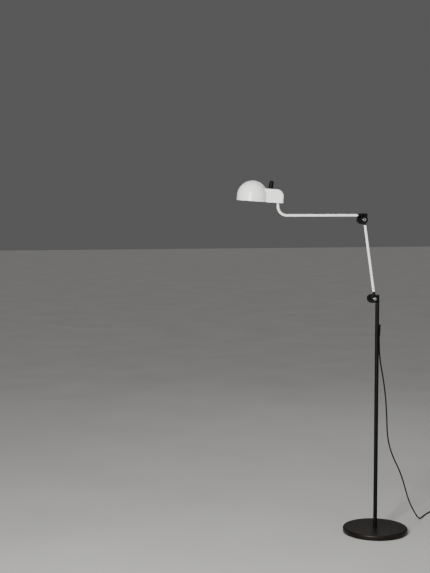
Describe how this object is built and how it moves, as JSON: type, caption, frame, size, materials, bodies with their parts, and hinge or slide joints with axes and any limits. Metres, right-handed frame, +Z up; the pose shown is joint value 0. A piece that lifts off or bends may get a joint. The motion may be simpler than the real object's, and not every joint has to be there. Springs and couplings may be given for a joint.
{
  "type": "adjustable arm floor lamp",
  "caption": "Floor lamp: dark disc base, slim black stem, jointed white tube arms with black friction knobs, and a small white domed head.",
  "frame": {"origin": "middle of the base's underside, on the floor", "axes": "+Z up along the stem; -X the way the head points at rest; -Y the side the pivot bolts face"},
  "size_m": [1.0263, 0.3872, 1.43],
  "materials": {
    "white_paint": "satin white enamel",
    "black_paint": "satin black enamel",
    "base_iron": "dark satin enamel on cast iron",
    "black_plastic": "fine matte black",
    "plain_steel": "zinc plated",
    "friction_fibre": "pressed fibre",
    "cord_rubber": "matte black sheath",
    "plug_plastic": "moulded black",
    "tie_fabric": "woven hook and loop strap",
    "felt": "grey felt",
    "brass": "turned brass",
    "cap_metal": "plated",
    "opal_glass": "opal",
    "ceramic": "cream insulating block"
  },
  "bodies": {
    "stand": {"base_disc": "base_iron", "base_pad": "felt", "stem_foot_plug": "plain_steel", "foot_washer": "plain_steel", "foot_bolt": "plain_steel", "stem_tube": "black_paint", "stem_bush": "black_plastic", "stem_cable": "cord_rubber", "cord_outlet": "black_plastic", "cord_strain_relief": "cord_rubber", "outlet_screw": "plain_steel", "cord_tube": "cord_rubber", "cord_coil": "cord_rubber", "coil_tie": "tie_fabric", "plug_sleeve": "cord_rubber", "plug_body": "plug_plastic", "plug_pins": "brass"},
    "swivel_hub": {"lower_joint_socket": "black_plastic", "lower_friction_disc": "friction_fibre"},
    "lower_arm": {"lower_joint_knuckle": "black_plastic", "lower_pivot_bolt": "plain_steel", "lower_spring_washer": "plain_steel", "lower_arm_tube": "white_paint", "lower_arm_cable": "cord_rubber", "upper_joint_knuckle": "black_plastic", "upper_pivot_bolt": "plain_steel", "upper_spring_washer": "plain_steel"},
    "lower_knob": {"lower_knob": "black_plastic", "lower_knob_insert": "brass"},
    "upper_knob": {"upper_knob": "black_plastic", "upper_knob_insert": "brass"},
    "upper_arm": {"upper_joint_socket": "black_plastic", "upper_friction_disc": "friction_fibre", "upper_set_screw": "plain_steel", "upper_arm_tube": "white_paint", "upper_arm_cable": "cord_rubber"},
    "head_swivel_block": {"head_swivel_block": "plain_steel"},
    "head": {"shade_shell": "white_paint", "tail_cover": "white_paint", "cover_pillars": "plain_steel", "cover_screws": "plain_steel", "head_chassis": "plain_steel", "tilt_pin": "plain_steel", "tilt_nut": "plain_steel", "tilt_washers": "plain_steel", "switch_body": "black_plastic", "switch_bushing": "brass", "switch_ring_nut": "black_plastic", "lampholder_bracket": "plain_steel", "holder_nipple": "plain_steel", "holder_nut": "plain_steel", "lampholder": "black_plastic", "lampholder_ring": "black_plastic", "contact_block": "ceramic", "threaded_liner": "brass", "lamp_cap": "cap_metal", "lamp_bulb": "opal_glass", "terminal_block": "ceramic"},
    "switch_lever": {"switch_lever": "black_plastic", "switch_stalk": "plain_steel"}
  },
  "joints": [
    {"name": "arm_swivel", "type": "hinge", "parent": "stand", "child": "swivel_hub", "pos_m": [0, 0, 0.9583], "axis": [0, 0, 1], "range_deg": [-170, 170]},
    {"name": "lower_arm_pivot", "type": "hinge", "parent": "swivel_hub", "child": "lower_arm", "pos_m": [-0.0174, 0, 0.9583], "axis": [0, 1, 0], "range_deg": [-55, 38]},
    {"name": "lower_knob_turn", "type": "hinge", "parent": "lower_arm", "child": "lower_knob", "pos_m": [-0.0174, 0, 0.9583], "axis": [0, 1, 0], "range_deg": [-180, 180]},
    {"name": "upper_arm_pivot", "type": "hinge", "parent": "lower_arm", "child": "upper_arm", "pos_m": [-0.06494, 0, 1.27637], "axis": [0, 1, 0], "range_deg": [-40, 50]},
    {"name": "upper_knob_turn", "type": "hinge", "parent": "lower_arm", "child": "upper_knob", "pos_m": [-0.06494, 0, 1.27637], "axis": [0, 1, 0], "range_deg": [-180, 180]},
    {"name": "head_swivel", "type": "hinge", "parent": "upper_arm", "child": "head_swivel_block", "pos_m": [-0.42094, 0, 1.34347], "axis": [-0.0523, 0, 0.9986], "range_deg": [-98, 110]},
    {"name": "head_tilt", "type": "hinge", "parent": "head_swivel_block", "child": "head", "pos_m": [-0.42188, 0, 1.36144], "axis": [0.2076, 0.9781, 0.0109], "range_deg": [-26, 12]},
    {"name": "switch_toggle", "type": "hinge", "parent": "head", "child": "switch_lever", "pos_m": [-0.44985, 0.00554, 1.39755], "axis": [0.2076, 0.9781, 0.0109], "range_deg": [-12, 0]}
  ]
}
